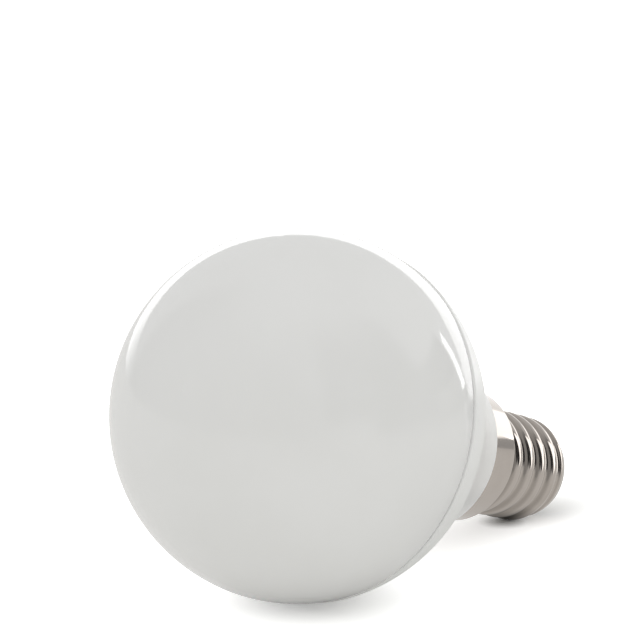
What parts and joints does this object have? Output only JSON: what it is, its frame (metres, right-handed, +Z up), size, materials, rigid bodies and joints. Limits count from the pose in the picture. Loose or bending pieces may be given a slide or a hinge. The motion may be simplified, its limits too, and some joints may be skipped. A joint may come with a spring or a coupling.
{
  "type": "light bulb",
  "caption": "Small round LED light bulb with an opal globe, a glossy white housing that narrows to a neck and a nickel-plated screw cap, lying on its side.",
  "frame": {"origin": "on the floor, under the middle of the lying bulb's box", "axes": "+Z up; +Y from the globe towards the screw cap, along the floor; +X to the right of someone who looks along +Y"},
  "size_m": [0.045, 0.075, 0.0452],
  "materials": {
    "opal": "opal, softly glossy",
    "white_plastic": "gloss",
    "nickel": "bright nickel plate",
    "black_insulator": "satin",
    "contact": "satin"
  },
  "bodies": {
    "root": {"globe": "opal", "housing": "white_plastic", "cap_shell": "nickel", "insulator": "black_insulator", "centre_contact": "contact"}
  },
  "joints": []
}
